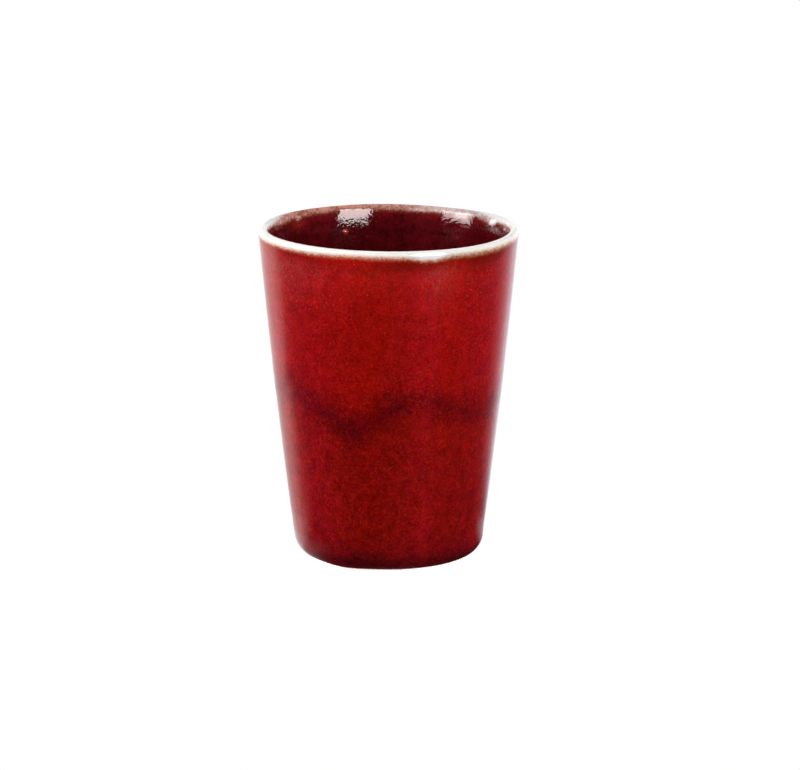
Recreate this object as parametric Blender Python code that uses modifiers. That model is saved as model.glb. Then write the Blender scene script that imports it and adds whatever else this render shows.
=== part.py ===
"""Ceramic tumbler: a turned porcelain body and the fired glaze coats on it.

Metres, +Z up.  The origin is the centre of the foot ring's underside and the
front of the vessel faces -Y.  Every piece is turned about the Z axis.  The
lengths below are millimetres and MM takes them to metres.
"""

import math

import bpy

MM = 0.001

# Overall form -------------------------------------------------------------
HEIGHT = 100.0          # foot to the top of the lip
RIM_RADIUS = 38.65      # outside of the lip
LIP_RADIUS = 1.45       # half the thickness of the finished lip
TAPER = 0.0917          # slope of the wall just under the lip
BELLY = 0.0218          # how much faster the wall draws in towards the foot
CORNER_RADIUS = 5.9     # turned corner between wall and foot
FOOT_HEIGHT = 0.8       # height at which that corner runs out level
WALL_GROWTH = 0.012     # wall gets this much thicker per millimetre downwards
LIP_FLARE = 0.95        # the inside opens out by this much towards the lip
FLARE_DEPTH = 2.9       # over about this depth
FLOOR_TOP = 6.2         # finished inside floor
INNER_CORNER = 7.0      # radius between inside floor and inside wall

# Foot ring ----------------------------------------------------------------
FOOT_OUTER = 23.7
FOOT_INNER = 20.4
FOOT_CHAMFER = 0.3
RECESS_DEPTH = 2.3      # underside of the clay floor inside the ring

# Glaze --------------------------------------------------------------------
COAT = 0.45             # thickness of a glaze coat
GAP = 0.3               # space kept between neighbouring pieces
EDGE = 0.12             # thickness of a coat where it feathers out
LIP_OUTSIDE = 3.0       # the pale lip coat reaches this far down outside
LIP_INSIDE = 2.4        # and this far down inside

# Lap of the two outside dips ----------------------------------------------
LAP_LEVEL = 50.5        # mean height of the lap
LAP_HALF = 4.5          # half its width
LAP_FADE = 24.0         # the waves die away over this height
# (azimuth in degrees from the front, rise in mm, tightness) of each swell
LAP_SWELLS = (
    (-62.0, 6.0, 9.0),
    (-18.0, -6.5, 22.0),
    (7.0, 6.8, 30.0),
    (60.0, -2.0, 7.0),
    (112.0, 3.2, 8.0),
    (150.0, -4.0, 10.0),
    (-160.0, 4.2, 12.0),
    (-118.0, -4.4, 9.0),
)

SEGMENTS = 48

# Finishes: base colour, roughness -------------------------------------------
OXBLOOD = (0.28, 0.005, 0.006)
OXBLOOD_DEEP = (0.19, 0.004, 0.005)
MAROON = (0.085, 0.004, 0.006)
PALE_LIP = (0.86, 0.83, 0.78)
PORCELAIN = (0.84, 0.81, 0.76)

LIP_CENTRE = HEIGHT - LIP_RADIUS


def outer_radius(z):
    """Finished outside of the wall at height z."""
    u = (LIP_CENTRE - z) / 100.0
    return RIM_RADIUS - 100.0 * (TAPER * u + BELLY * u * u)


def outer_slope(z):
    u = (LIP_CENTRE - z) / 100.0
    return TAPER + 2.0 * BELLY * u


def flare(z):
    return LIP_FLARE * math.exp((z - LIP_CENTRE) / FLARE_DEPTH)


def inner_wall(z):
    """Inside of the wall at height z, before it is set to meet the lip."""
    return outer_radius(z) - WALL_GROWTH * (LIP_CENTRE - z) + flare(z)


def inner_slope(z):
    return outer_slope(z) + WALL_GROWTH + flare(z) / FLARE_DEPTH


# The lip is an arc that runs out tangent to the wall on both sides
LIP_R = RIM_RADIUS - LIP_RADIUS
LIP_OUT_LEAN = math.atan(outer_slope(LIP_CENTRE))
LIP_IN_LEAN = math.atan(inner_slope(LIP_CENTRE))
for _ in range(30):
    LIP_IN_Z = LIP_CENTRE + LIP_RADIUS * math.sin(LIP_IN_LEAN)
    LIP_IN_LEAN = math.atan(inner_slope(LIP_IN_Z))
WALL_SET = LIP_R - LIP_RADIUS * math.cos(LIP_IN_LEAN) - inner_wall(LIP_IN_Z)


def inner_radius(z):
    """Finished inside of the wall at height z."""
    return inner_wall(z) + WALL_SET


def corner_centre(radius_at, slope_at, level, radius):
    """Centre, tangent height and wall angle of an arc that joins the wall to a level face."""
    tangent = level + radius
    for _ in range(30):
        lean = math.atan(slope_at(tangent))
        tangent = level + radius - radius * math.sin(lean)
    centre = radius_at(tangent) - radius * math.cos(lean)
    return centre, level + radius, tangent, lean


OUT_R, OUT_Z, OUT_TANGENT, OUT_LEAN = corner_centre(
    outer_radius, outer_slope, FOOT_HEIGHT, CORNER_RADIUS
)
IN_R, IN_Z, IN_TANGENT, IN_LEAN = corner_centre(
    inner_radius, inner_slope, FLOOR_TOP, INNER_CORNER
)


def spread(first, last, count):
    return [first + (last - first) * i / (count - 1) for i in range(count)]


def arc(centre_r, centre_z, radius, first, last, count):
    return [
        (centre_r + radius * math.cos(a), centre_z + radius * math.sin(a))
        for a in spread(first, last, count)
    ]


def under_outside(depth, z):
    """The point at height z, a set depth under the wall's finished outside."""
    return (outer_radius(z) - depth, z)


def outside(depth, top, bottom, count):
    """Points down the wall, a set depth under its finished outside."""
    return [under_outside(depth, z) for z in spread(top, bottom, count)]


def inside(depth, bottom, top, count):
    """Points up the wall, a set depth under its finished inside, closer near the top."""
    steps = [1.0 - (1.0 - t) ** 2 for t in spread(0.0, 1.0, count)]
    heights = [bottom + (top - bottom) * t for t in steps]
    return [
        (inner_radius(z) + depth / math.cos(math.atan(inner_slope(z))), z)
        for z in heights
    ]


def outer_corner(depth, last, count):
    return arc(OUT_R, OUT_Z, CORNER_RADIUS - depth, -OUT_LEAN, last, count)


def inner_corner(depth, first, count):
    return arc(IN_R, IN_Z, INNER_CORNER + depth, first, -IN_LEAN, count)


def lip(depth, count):
    """Points over the lip from inside to outside, a set depth under its surface."""
    return arc(
        LIP_R,
        LIP_CENTRE,
        LIP_RADIUS - depth,
        math.pi - LIP_IN_LEAN,
        -LIP_OUT_LEAN,
        count,
    )


def lap_rise(azimuth):
    """Height of the lap's wave, azimuth measured from the front towards +X."""
    rise = 0.0
    for centre, height, tightness in LAP_SWELLS:
        rise += height * math.exp(
            tightness * (math.cos(azimuth - math.radians(centre)) - 1.0)
        )
    return rise


def ease(t):
    t = min(max(t, 0.0), 1.0)
    return t * t * (3.0 - 2.0 * t)


# Scene ----------------------------------------------------------------------
for old in list(bpy.data.objects):
    bpy.data.objects.remove(old, do_unlink=True)

tumbler = bpy.data.collections.new("ceramic_tumbler")
bpy.context.scene.collection.children.link(tumbler)


def finish(name, colour, roughness):
    material = bpy.data.materials.new(name)
    material.use_nodes = True
    shader = material.node_tree.nodes["Principled BSDF"]
    shader.inputs["Base Color"].default_value = (*colour, 1.0)
    shader.inputs["Roughness"].default_value = roughness
    shader.inputs["Metallic"].default_value = 0.0
    return material


def turned(name, profile, material, ring):
    """Turns a profile (radius, height), run down its outer side, about Z."""
    points = [(r * MM, 0.0, z * MM) for r, z in profile]
    edges = [(i, i + 1) for i in range(len(points) - 1)]
    if ring:
        edges.append((len(points) - 1, 0))
    mesh = bpy.data.meshes.new(name)
    mesh.from_pydata(points, edges, [])
    piece = bpy.data.objects.new(name, mesh)
    tumbler.objects.link(piece)
    screw = piece.modifiers.new("turn", "SCREW")
    screw.axis = "Z"
    screw.angle = math.tau
    screw.steps = screw.render_steps = SEGMENTS
    screw.use_merge_vertices = True
    screw.merge_threshold = 0.00001
    screw.use_smooth_shade = True
    piece.data.materials.append(material)
    return piece


def settled(piece):
    """Replaces a piece's profile by its turned mesh, so that points can move."""
    graph = bpy.context.evaluated_depsgraph_get()
    mesh = bpy.data.meshes.new_from_object(piece.evaluated_get(graph))
    mesh.name = piece.name
    old = piece.data
    piece.modifiers.clear()
    piece.data = mesh
    bpy.data.meshes.remove(old)
    return piece


def wave(piece):
    """Slides the points near the lap up and down the wall by the lap's wave."""
    for vertex in settled(piece).data.vertices:
        x, y, z = (c / MM for c in vertex.co)
        away = max(abs(z - LAP_LEVEL) - LAP_HALF - 2.0, 0.0)
        weight = 1.0 - ease(away / LAP_FADE)
        if weight <= 0.0:
            continue
        azimuth = math.atan2(x, -y)
        radius = math.hypot(x, y)
        depth = outer_radius(z) - radius
        lifted = z + weight * lap_rise(azimuth)
        scale = (outer_radius(lifted) - depth) / radius
        vertex.co = (x * scale * MM, y * scale * MM, lifted * MM)


# Porcelain body: floor, wall, lip and foot ring in one thrown and turned piece
under = COAT + GAP
body_profile = [(0.0, FLOOR_TOP - under), (IN_R * 0.6, FLOOR_TOP - under)]
body_profile += inner_corner(under, -math.pi / 2, 5)
body_profile += inside(under, IN_TANGENT, LIP_IN_Z, 9)[1:-1]
body_profile += lip(under, 7)
body_profile += outside(under, LIP_CENTRE, OUT_TANGENT, 7)[1:-1]
body_profile += outer_corner(under, math.radians(-82.0), 5)
body_profile += [
    (FOOT_OUTER, FOOT_HEIGHT + 0.55),
    (FOOT_OUTER, FOOT_CHAMFER),
    (FOOT_OUTER - FOOT_CHAMFER, 0.0),
    (FOOT_INNER + FOOT_CHAMFER, 0.0),
    (FOOT_INNER, FOOT_CHAMFER),
    (FOOT_INNER - 0.4, RECESS_DEPTH - 0.5),
    (FOOT_INNER - 0.9, RECESS_DEPTH),
    (FOOT_INNER * 0.5, RECESS_DEPTH),
    (0.0, RECESS_DEPTH),
]
turned("porcelain_body", body_profile, finish("bare_porcelain", PORCELAIN, 0.6), False)

# Pale lip coat: a cap over the lip, where the red has drained away
out_edge = HEIGHT - LIP_OUTSIDE
in_edge = HEIGHT - LIP_INSIDE
rim_profile = inside(0.0, in_edge, LIP_IN_Z, 3)[:-1]
rim_profile += lip(0.0, 9)
rim_profile += [under_outside(0.0, out_edge), under_outside(COAT, out_edge)]
rim_profile += lip(COAT, 7)[::-1]
rim_profile += inside(COAT, in_edge, LIP_IN_Z, 3)[-2::-1]
turned("rim_glaze", rim_profile, finish("pale_lip_glaze", PALE_LIP, 0.12), True)

# Inside coat: floor and wall, up to the lip coat
inner_top = in_edge - GAP
inner_profile = [(0.0, FLOOR_TOP), (IN_R * 0.6, FLOOR_TOP)]
inner_profile += inner_corner(0.0, -math.pi / 2, 6)
inner_profile += inside(0.0, IN_TANGENT, inner_top, 8)[1:]
inner_profile += inside(COAT, IN_TANGENT, inner_top, 8)[:0:-1]
inner_profile += inner_corner(COAT, -math.pi / 2, 6)[::-1]
inner_profile += [(IN_R * 0.6, FLOOR_TOP - COAT), (0.0, FLOOR_TOP - COAT)]
turned("inner_glaze", inner_profile, finish("liner_glaze", MAROON, 0.1), False)

# Depths under the finished outside, where the two outside dips lap.  The first
# dip thins out upwards; the second rides over it and thins out downwards.
lap_top = LAP_LEVEL + LAP_HALF
lap_foot = LAP_LEVEL - LAP_HALF
first_face_top, first_face_foot = COAT - EDGE, EDGE
second_back_top, second_back_foot = first_face_top - GAP, first_face_foot - GAP
second_face_top, second_face_foot = second_back_top - COAT * 0.9, second_back_foot - EDGE

# First outside dip: the foot end, up to the lap
lower_profile = [
    under_outside(first_face_top, lap_top),
    under_outside(first_face_foot, lap_foot),
]
lower_profile += outside(0.0, lap_foot - 1.5, OUT_TANGENT, 6)[:-1]
lower_profile += outer_corner(0.0, math.radians(-74.0), 6)
lower_profile += outer_corner(COAT, math.radians(-76.0), 6)[::-1]
lower_profile += outside(COAT, lap_top, OUT_TANGENT, 8)[-2::-1]
wave(
    turned(
        "outer_glaze_lower",
        lower_profile,
        finish("oxblood_lower_glaze", OXBLOOD_DEEP, 0.14),
        True,
    )
)

# Second outside dip: the rim end, lapping over the first along a wavy line
upper_top = out_edge - GAP
upper_profile = outside(0.0, upper_top, lap_top + 3.5, 5)
upper_profile += [
    under_outside(second_face_top, lap_top),
    under_outside(second_face_foot, lap_foot),
    under_outside(second_back_foot, lap_foot),
    under_outside(second_back_top, lap_top),
]
upper_profile += outside(COAT, upper_top, lap_top + 0.9, 5)[::-1]
wave(
    turned(
        "outer_glaze_upper",
        upper_profile,
        finish("oxblood_upper_glaze", OXBLOOD, 0.14),
        True,
    )
)

# Base coat: a thin disc of glaze in the recess inside the foot ring
base_top = RECESS_DEPTH - GAP
base_radius = FOOT_INNER - 1.9
base_profile = [
    (0.0, base_top),
    (base_radius * 0.5, base_top),
    (base_radius - 0.2, base_top),
    (base_radius, base_top - EDGE),
    (base_radius - 0.3, base_top - COAT * 0.8),
    (base_radius - 1.0, base_top - COAT),
    (base_radius * 0.5, base_top - COAT),
    (0.0, base_top - COAT),
]
turned("base_glaze", base_profile, finish("oxblood_base_glaze", OXBLOOD_DEEP, 0.2), False)

for piece in tumbler.objects:
    if piece.data.polygons:
        piece.data.shade_smooth()
        piece.data.set_sharp_from_angle(angle=math.radians(40.0))
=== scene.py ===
"""Looks of the ceramic tumbler: fine meshes, fired-glaze materials, studio and camera.

Lengths in the shape code are millimetres; MM takes them to metres.  Azimuth is
measured from the front (-Y) towards +X.  The pieces are the same turned coats
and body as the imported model, cut finer, with their edges brought together.
"""

import math

import bpy
import numpy as np
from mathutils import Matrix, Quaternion, Vector


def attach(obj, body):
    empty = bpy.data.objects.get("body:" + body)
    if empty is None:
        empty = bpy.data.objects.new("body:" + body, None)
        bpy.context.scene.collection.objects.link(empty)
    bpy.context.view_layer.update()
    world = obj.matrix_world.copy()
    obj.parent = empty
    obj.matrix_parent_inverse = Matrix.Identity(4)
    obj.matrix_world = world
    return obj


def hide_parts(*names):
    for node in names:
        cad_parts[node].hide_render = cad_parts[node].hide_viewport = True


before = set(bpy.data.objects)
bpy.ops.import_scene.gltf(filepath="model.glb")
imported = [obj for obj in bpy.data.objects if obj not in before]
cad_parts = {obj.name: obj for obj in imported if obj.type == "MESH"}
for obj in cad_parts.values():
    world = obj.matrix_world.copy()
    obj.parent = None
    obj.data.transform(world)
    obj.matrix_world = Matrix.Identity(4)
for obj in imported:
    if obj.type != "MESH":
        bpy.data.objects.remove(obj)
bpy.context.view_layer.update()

MM = 0.001

# Form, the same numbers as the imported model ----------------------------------
HEIGHT = 100.0
RIM_RADIUS = 38.65
LIP_RADIUS = 1.45
TAPER = 0.0917
BELLY = 0.0218
CORNER_RADIUS = 5.9
FOOT_HEIGHT = 0.8
WALL_GROWTH = 0.012
LIP_FLARE = 0.95
FLARE_DEPTH = 2.9
FLOOR_TOP = 6.2
INNER_CORNER = 7.0
FOOT_OUTER = 23.7
FOOT_INNER = 20.4
RECESS_DEPTH = 2.3
COAT = 0.45
LIP_OUTSIDE = 3.0
LIP_INSIDE = 2.4
LAP_LEVEL = 50.5
LAP_HALF = 4.5
LAP_SWELLS = (
    (-62.0, 6.0, 9.0),
    (-18.0, -6.5, 22.0),
    (7.0, 6.8, 30.0),
    (60.0, -2.0, 7.0),
    (112.0, 3.2, 8.0),
    (150.0, -4.0, 10.0),
    (-160.0, 4.2, 12.0),
    (-118.0, -4.4, 9.0),
)
LIP_CENTRE = HEIGHT - LIP_RADIUS
LIP_R = RIM_RADIUS - LIP_RADIUS

# How far the white of the lip hangs down outside, in mm, about each azimuth
LIP_DRIPS = (
    (14.5, 0.78, 300.0),
    (21.5, 0.90, 300.0),
    (34.0, 0.15, 120.0),
    (48.0, 0.20, 100.0),
    (64.0, 0.12, 60.0),
    (-15.0, -0.18, 60.0),
    (-38.0, 0.20, 150.0),
    (-58.0, 0.15, 60.0),
    (118.0, 0.45, 60.0),
    (171.0, 0.55, 120.0),
    (-132.0, 0.50, 80.0),
    (-96.0, 0.45, 25.0),
)
# How far the hand-finished rim dips below level
RIM_DIPS = (
    (40.0, -0.42, 4.0),
    (-35.0, -0.12, 4.0),
    (180.0, -0.30, 2.0),
    (152.0, -0.50, 8.0),
    (-150.0, -0.10, 6.0),
)
# Height of the darkest line of the lap, by azimuth
LAP_LINE = (
    (-180.0, 51.0),
    (-160.0, 54.5),
    (-140.0, 53.0),
    (-118.0, 46.5),
    (-95.0, 50.5),
    (-66.0, 54.4),
    (-48.0, 53.6),
    (-40.0, 52.0),
    (-32.0, 49.0),
    (-25.0, 45.6),
    (-18.0, 44.0),
    (-11.0, 46.2),
    (-4.0, 49.9),
    (3.0, 52.6),
    (10.0, 53.4),
    (18.0, 52.5),
    (28.0, 52.2),
    (37.0, 50.8),
    (45.0, 49.2),
    (58.0, 47.9),
    (70.0, 49.5),
    (92.0, 52.0),
    (112.0, 54.5),
    (132.0, 50.0),
    (150.0, 46.5),
    (165.0, 48.5),
    (180.0, 51.0),
)
# Where the glaze pooled into a thicker roll at the foot
FOOT_ROLL = ((-33.0, 0.33, 24.0), (128.0, 0.24, 18.0), (-150.0, 0.15, 14.0))
# The small bead of glaze on the far inside wall
BEAD_AZIMUTH, BEAD_HEIGHT, BEAD_RADIUS, BEAD_RISE = -157.5, 91.9, 1.0, 0.34


def outer_radius(z):
    u = (LIP_CENTRE - z) / 100.0
    return RIM_RADIUS - 100.0 * (TAPER * u + BELLY * u * u)


def outer_slope(z):
    return TAPER + 2.0 * BELLY * (LIP_CENTRE - z) / 100.0


def inner_wall(z):
    flare = LIP_FLARE * np.exp((z - LIP_CENTRE) / FLARE_DEPTH)
    return outer_radius(z) - WALL_GROWTH * (LIP_CENTRE - z) + flare


def inner_slope(z):
    flare = LIP_FLARE / FLARE_DEPTH * np.exp((z - LIP_CENTRE) / FLARE_DEPTH)
    return outer_slope(z) + WALL_GROWTH + flare


LIP_OUT_LEAN = math.atan(outer_slope(LIP_CENTRE))
LIP_IN_LEAN = math.atan(inner_slope(LIP_CENTRE))
for _ in range(30):
    LIP_IN_Z = LIP_CENTRE + LIP_RADIUS * math.sin(LIP_IN_LEAN)
    LIP_IN_LEAN = math.atan(inner_slope(LIP_IN_Z))
LIP_OUT_Z = LIP_CENTRE - LIP_RADIUS * math.sin(LIP_OUT_LEAN)
WALL_SET = LIP_R - LIP_RADIUS * math.cos(LIP_IN_LEAN) - inner_wall(LIP_IN_Z)
OUT_SET = LIP_R + LIP_RADIUS * math.cos(LIP_OUT_LEAN) - outer_radius(LIP_OUT_Z)


def inner_radius(z):
    return inner_wall(z) + WALL_SET


def corner_centre(radius_at, slope_at, level, radius):
    tangent = level + radius
    for _ in range(30):
        lean = math.atan(slope_at(tangent))
        tangent = level + radius - radius * math.sin(lean)
    return radius_at(tangent) - radius * math.cos(lean), level + radius, tangent, lean


OUT_R, OUT_Z, OUT_TANGENT, OUT_LEAN = corner_centre(
    outer_radius, outer_slope, FOOT_HEIGHT, CORNER_RADIUS
)
IN_R, IN_Z, IN_TANGENT, IN_LEAN = corner_centre(
    inner_radius, inner_slope, FLOOR_TOP, INNER_CORNER
)


def swells(azimuth, table):
    """Sum of round bumps about the axis, each (degrees, height, tightness)."""
    total = np.zeros_like(azimuth)
    for centre, height, tightness in table:
        total += height * np.exp(
            tightness * (np.cos(azimuth - math.radians(centre)) - 1.0)
        )
    return total


def ease(t):
    t = np.clip(t, 0.0, 1.0)
    return t * t * (3.0 - 2.0 * t)


# Azimuths of the mesh columns: one a degree, and finer about the bead
columns = np.arange(-180.0, 180.0, 1.0)
near_bead = BEAD_AZIMUTH + np.arange(-3.0, 3.01, 0.25)
columns = columns[np.abs(columns - BEAD_AZIMUTH) > 3.1]
AZIMUTH = np.radians(np.sort(np.concatenate([columns, near_bead])))
COUNT = len(AZIMUTH)
ONES = np.ones(COUNT)
LAP = LAP_LEVEL + swells(AZIMUTH, LAP_SWELLS)
DRIP = swells(AZIMUTH, LIP_DRIPS)


def closed_curve(table, blur):
    """A smooth closed line through (degrees, height) points, read at AZIMUTH."""
    turn = np.arange(-540.0, 540.0, 0.5)
    at, level = np.array(table).T
    line = np.interp((turn + 180.0) % 360.0 - 180.0, at, level)
    reach = np.arange(-40, 41)
    kernel = np.exp(-0.5 * (reach * 0.5 / blur) ** 2)
    line = np.convolve(line, kernel / kernel.sum(), "same")
    return np.interp(np.degrees(AZIMUTH), turn, line)


TONE_LAP = closed_curve(LAP_LINE, 2.2)
POOLED = swells(AZIMUTH, FOOT_ROLL)
RIM_DIP = swells(AZIMUTH, RIM_DIPS)


def rim_wobble(z):
    """The hand-turned lip isn't quite level."""
    a = AZIMUTH
    rise = RIM_DIP + 0.03 * np.sin(2 * a + 2.7) + 0.02 * np.sin(5 * a - 1.1)
    return rise * ease((z - 86.0) / 13.0)


def outside_relief(z):
    """Slight out-of-round and turning lines of the outside, and the lap's ridge."""
    a = AZIMUTH
    round_off = 0.05 * np.sin(2 * a + 2.0) + 0.03 * np.sin(3 * a + 0.4)
    lines = 0.012 * np.sin(math.tau * z / 6.1 + a) + 0.006 * np.sin(
        math.tau * z / 2.3 - 2 * a
    )
    above = z - (LAP - LAP_HALF)
    ridge = 0.07 * ease(above / 4.0) * (1.0 - ease((above - 5.0) / 12.0))
    calm = ease((z - 1.0) / 12.0) * (1.0 - ease((z - 95.5) / 3.0))
    return (round_off + lines + ridge) * calm


def inside_relief(z):
    """Throwing ridges inside, and the bead."""
    a = AZIMUTH
    ridges = 0.05 * np.sin(math.tau * z / 6.6 + a) + 0.03 * np.sin(2 * a + 1.0)
    calm = ease((z - 7.0) / 10.0) * (1.0 - ease((z - 92.0) / 5.0))
    across = (a - math.radians(BEAD_AZIMUTH)) * inner_radius(BEAD_HEIGHT)
    away = np.hypot(across, z - BEAD_HEIGHT) / BEAD_RADIUS
    bead = BEAD_RISE * np.sqrt(np.clip(1.0 - away * away, 0.0, 1.0))
    return ridges * calm - bead


class Row:
    """One ring of points: radius, height, length over the lip."""

    def __init__(self, radius, height, lip=60.0):
        self.radius = radius * ONES
        self.height = height * ONES
        self.lip = lip * ONES


def wall_out(z, depth=0.0):
    """Outside of the wall at height z, a set depth under the surface."""
    z = z * ONES
    lip = OUT_ARC + (LIP_OUT_Z - z) * 1.005
    radius = outer_radius(z) + OUT_SET * ease((z - 90.0) / 8.0) + outside_relief(z)
    return Row(radius - depth, z + rim_wobble(z), lip)


def wall_in(z, depth=0.0):
    """Inside of the wall at height z, a set depth under the surface."""
    z = z * ONES
    lip = IN_ARC - np.interp(-z, -IN_HEIGHTS, IN_LENGTHS)
    set_back = depth / np.cos(np.arctan(inner_slope(z)))
    return Row(inner_radius(z) + inside_relief(z) + set_back, z + rim_wobble(z), lip)


def lip_arc(angle, depth=0.0):
    radius = LIP_RADIUS - depth
    z = LIP_CENTRE + radius * math.sin(angle)
    lip = (math.pi / 2 - angle) * LIP_RADIUS
    return Row(LIP_R + radius * math.cos(angle), z + rim_wobble(z * ONES), lip)


def corner_out(angle, depth=0.0):
    radius = CORNER_RADIUS - depth
    z = OUT_Z + radius * math.sin(angle)
    roll = POOLED * ease((-angle - 0.5) / 0.8) * (1.0 - min(depth / COAT, 1.0))
    return Row(OUT_R + radius * math.cos(angle), z - roll)


def corner_in(angle, depth=0.0):
    radius = INNER_CORNER + depth
    z = IN_Z + radius * math.sin(angle)
    return Row(IN_R + radius * math.cos(angle), z, -60.0)


OUT_ARC = (math.pi / 2 + LIP_OUT_LEAN) * LIP_RADIUS
IN_ARC = -(math.pi / 2 - LIP_IN_LEAN) * LIP_RADIUS
IN_HEIGHTS = np.linspace(LIP_IN_Z, IN_TANGENT, 2000)
IN_LENGTHS = np.concatenate(
    [
        [0.0],
        np.cumsum(
            np.hypot(np.diff(IN_HEIGHTS), np.diff(inner_radius(IN_HEIGHTS)))
        ),
    ]
)


def spread(first, last, step):
    count = max(int(round(abs(last - first) / step)), 1) + 1
    return np.linspace(first, last, count)


# Meshes ----------------------------------------------------------------------
looks = bpy.data.collections.new("tumbler_looks")
bpy.context.scene.collection.children.link(looks)


def piece(name, rows, top=None, bottom=None):
    """A closed mesh of rings.  With top and bottom, its ends close on the axis
    at those heights; without, its last ring joins its first."""
    radius = np.concatenate([row.radius for row in rows])
    height = np.concatenate([row.height for row in rows])
    lip = np.concatenate([row.lip for row in rows])
    azimuth = np.tile(AZIMUTH, len(rows))
    points = np.stack(
        [radius * np.sin(azimuth), -radius * np.cos(azimuth), height], 1
    )
    lap = height - np.tile(TONE_LAP, len(rows))
    ring = np.arange(COUNT)
    after = (ring + 1) % COUNT
    pairs = [(i, i + 1) for i in range(len(rows) - 1)]
    if top is None:
        pairs.append((len(rows) - 1, 0))
    quads = np.concatenate(
        [
            np.stack(
                [a * COUNT + ring, b * COUNT + ring, b * COUNT + after, a * COUNT + after],
                1,
            )
            for a, b in pairs
        ]
    )
    corners = quads.ravel()
    starts = np.arange(len(quads)) * 4
    if top is not None:
        first, last = len(points), len(points) + 1
        points = np.concatenate([points, [[0, 0, top], [0, 0, bottom]]])
        lip = np.concatenate([lip, [lip[0], lip[-1]]])
        lap = np.concatenate([lap, [top - LAP_LEVEL, bottom - LAP_LEVEL]])
        end = (len(rows) - 1) * COUNT
        fan = np.concatenate(
            [
                np.stack([np.full(COUNT, first), ring, after], 1),
                np.stack([np.full(COUNT, last), end + after, end + ring], 1),
            ]
        )
        starts = np.concatenate([starts, len(corners) + np.arange(len(fan)) * 3])
        corners = np.concatenate([corners, fan.ravel()])
    mesh = bpy.data.meshes.new(name)
    mesh.vertices.add(len(points))
    mesh.vertices.foreach_set("co", (points * MM).astype(np.float32).ravel())
    mesh.loops.add(len(corners))
    mesh.loops.foreach_set("vertex_index", corners.astype(np.int32))
    mesh.polygons.add(len(starts))
    mesh.polygons.foreach_set("loop_start", starts.astype(np.int32))
    mesh.update(calc_edges=True)
    mesh.validate()
    for field, values in (("lip", lip), ("lap", lap)):
        mesh.attributes.new(field, "FLOAT", "POINT").data.foreach_set(
            "value", values.astype(np.float32)
        )
    drip = mesh.attributes.new("drip", "FLOAT", "POINT")
    hang = np.tile(DRIP, len(rows))
    if top is not None:
        hang = np.concatenate([hang, [0.0, 0.0]])
    drip.data.foreach_set("value", hang.astype(np.float32))
    mesh.shade_smooth()
    mesh.set_sharp_from_angle(angle=math.radians(38.0))
    made = bpy.data.objects.new(name, mesh)
    looks.objects.link(made)
    return made


OUT_SEAM = HEIGHT - LIP_OUTSIDE
IN_SEAM = HEIGHT - LIP_INSIDE
TOE = LAP - LAP_HALF
FEATHER = 0.05
UNDER = COAT + 0.02

# Lip coat
rows = [wall_in(z) for z in spread(IN_SEAM, LIP_IN_Z, 0.25)[:-1]]
rows += [lip_arc(a) for a in np.linspace(math.pi - LIP_IN_LEAN, -LIP_OUT_LEAN, 26)]
rows += [wall_out(z) for z in spread(LIP_OUT_Z, OUT_SEAM, 0.25)[1:]]
rows += [wall_out(OUT_SEAM, COAT)]
rows += [
    lip_arc(a, COAT) for a in np.linspace(-LIP_OUT_LEAN, math.pi - LIP_IN_LEAN, 14)
]
rows += [wall_in(IN_SEAM, COAT)]
lip_coat = piece("lip_glaze_coat", rows)

# Second dip, rim end: down to its feathered toe along the lap
share = spread(0.0, 1.0, 0.0135)
rows = [wall_out(OUT_SEAM + (TOE - OUT_SEAM) * t) for t in share]
rows += [
    wall_out(TOE + 2 * LAP_HALF * t, FEATHER + (COAT - 2 * FEATHER) * t)
    for t in np.linspace(0.0, 1.0, 6)
]
rows += [
    wall_out(TOE + 2 * LAP_HALF + (OUT_SEAM - TOE - 2 * LAP_HALF) * t, COAT)
    for t in np.linspace(0.03, 1.0, 14)
]
upper_coat = piece("upper_glaze_coat", rows)

# First dip, foot end: thinning out upwards under the second
GLAZE_END = math.radians(-76.0)
rows = [
    wall_out(TOE + 2 * LAP_HALF * t, FEATHER + (COAT - 2 * FEATHER) * t)
    for t in np.linspace(1.0, 0.0, 6)
]
rows += [wall_out(TOE + (OUT_TANGENT - TOE) * t) for t in spread(0.0, 1.0, 0.0175)[:-1]]
rows += [corner_out(a) for a in np.linspace(-OUT_LEAN, GLAZE_END, 22)]
# the rolled edge where the melted glaze stopped
for turn in np.linspace(0.0, math.pi, 9)[1:-1]:
    depth = COAT / 2 * (1 - math.cos(turn))
    rows.append(corner_out(GLAZE_END - 0.045 * math.sin(turn), depth))
rows += [corner_out(a, COAT) for a in np.linspace(GLAZE_END, -OUT_LEAN, 12)]
rows += [
    wall_out(OUT_TANGENT + (TOE + 2 * LAP_HALF - OUT_TANGENT) * t, COAT)
    for t in np.linspace(0.0, 1.0, 24)[1:]
]
lower_coat = piece("lower_glaze_coat", rows)

# Liner: floor with its throwing spiral, corner and wall
floor_rows = []
for r in spread(0.6, IN_R, 0.6)[:-1]:
    swirl = 0.06 * np.sin(math.tau * r / 4.6 - AZIMUTH) * ease(r / 4.0)
    pool = -0.35 * (1.0 - ease(r / 9.0))
    calm = 1.0 - ease((r - IN_R + 5.0) / 5.0)
    floor_rows.append(Row(r, FLOOR_TOP + (swirl + pool) * calm, -60.0))
rows = floor_rows + [corner_in(a) for a in np.linspace(-math.pi / 2, -IN_LEAN, 20)]
heights = np.concatenate(
    [
        spread(IN_TANGENT, 89.9, 0.85)[1:],
        spread(89.9, 93.1, 0.16)[1:],
        spread(93.1, IN_SEAM, 0.3)[1:],
    ]
)
rows += [wall_in(z) for z in heights]
rows += [wall_in(z, COAT) for z in np.linspace(IN_SEAM, IN_TANGENT, 26)]
rows += [corner_in(a, COAT) for a in np.linspace(-IN_LEAN, -math.pi / 2, 8)[1:]]
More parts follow.
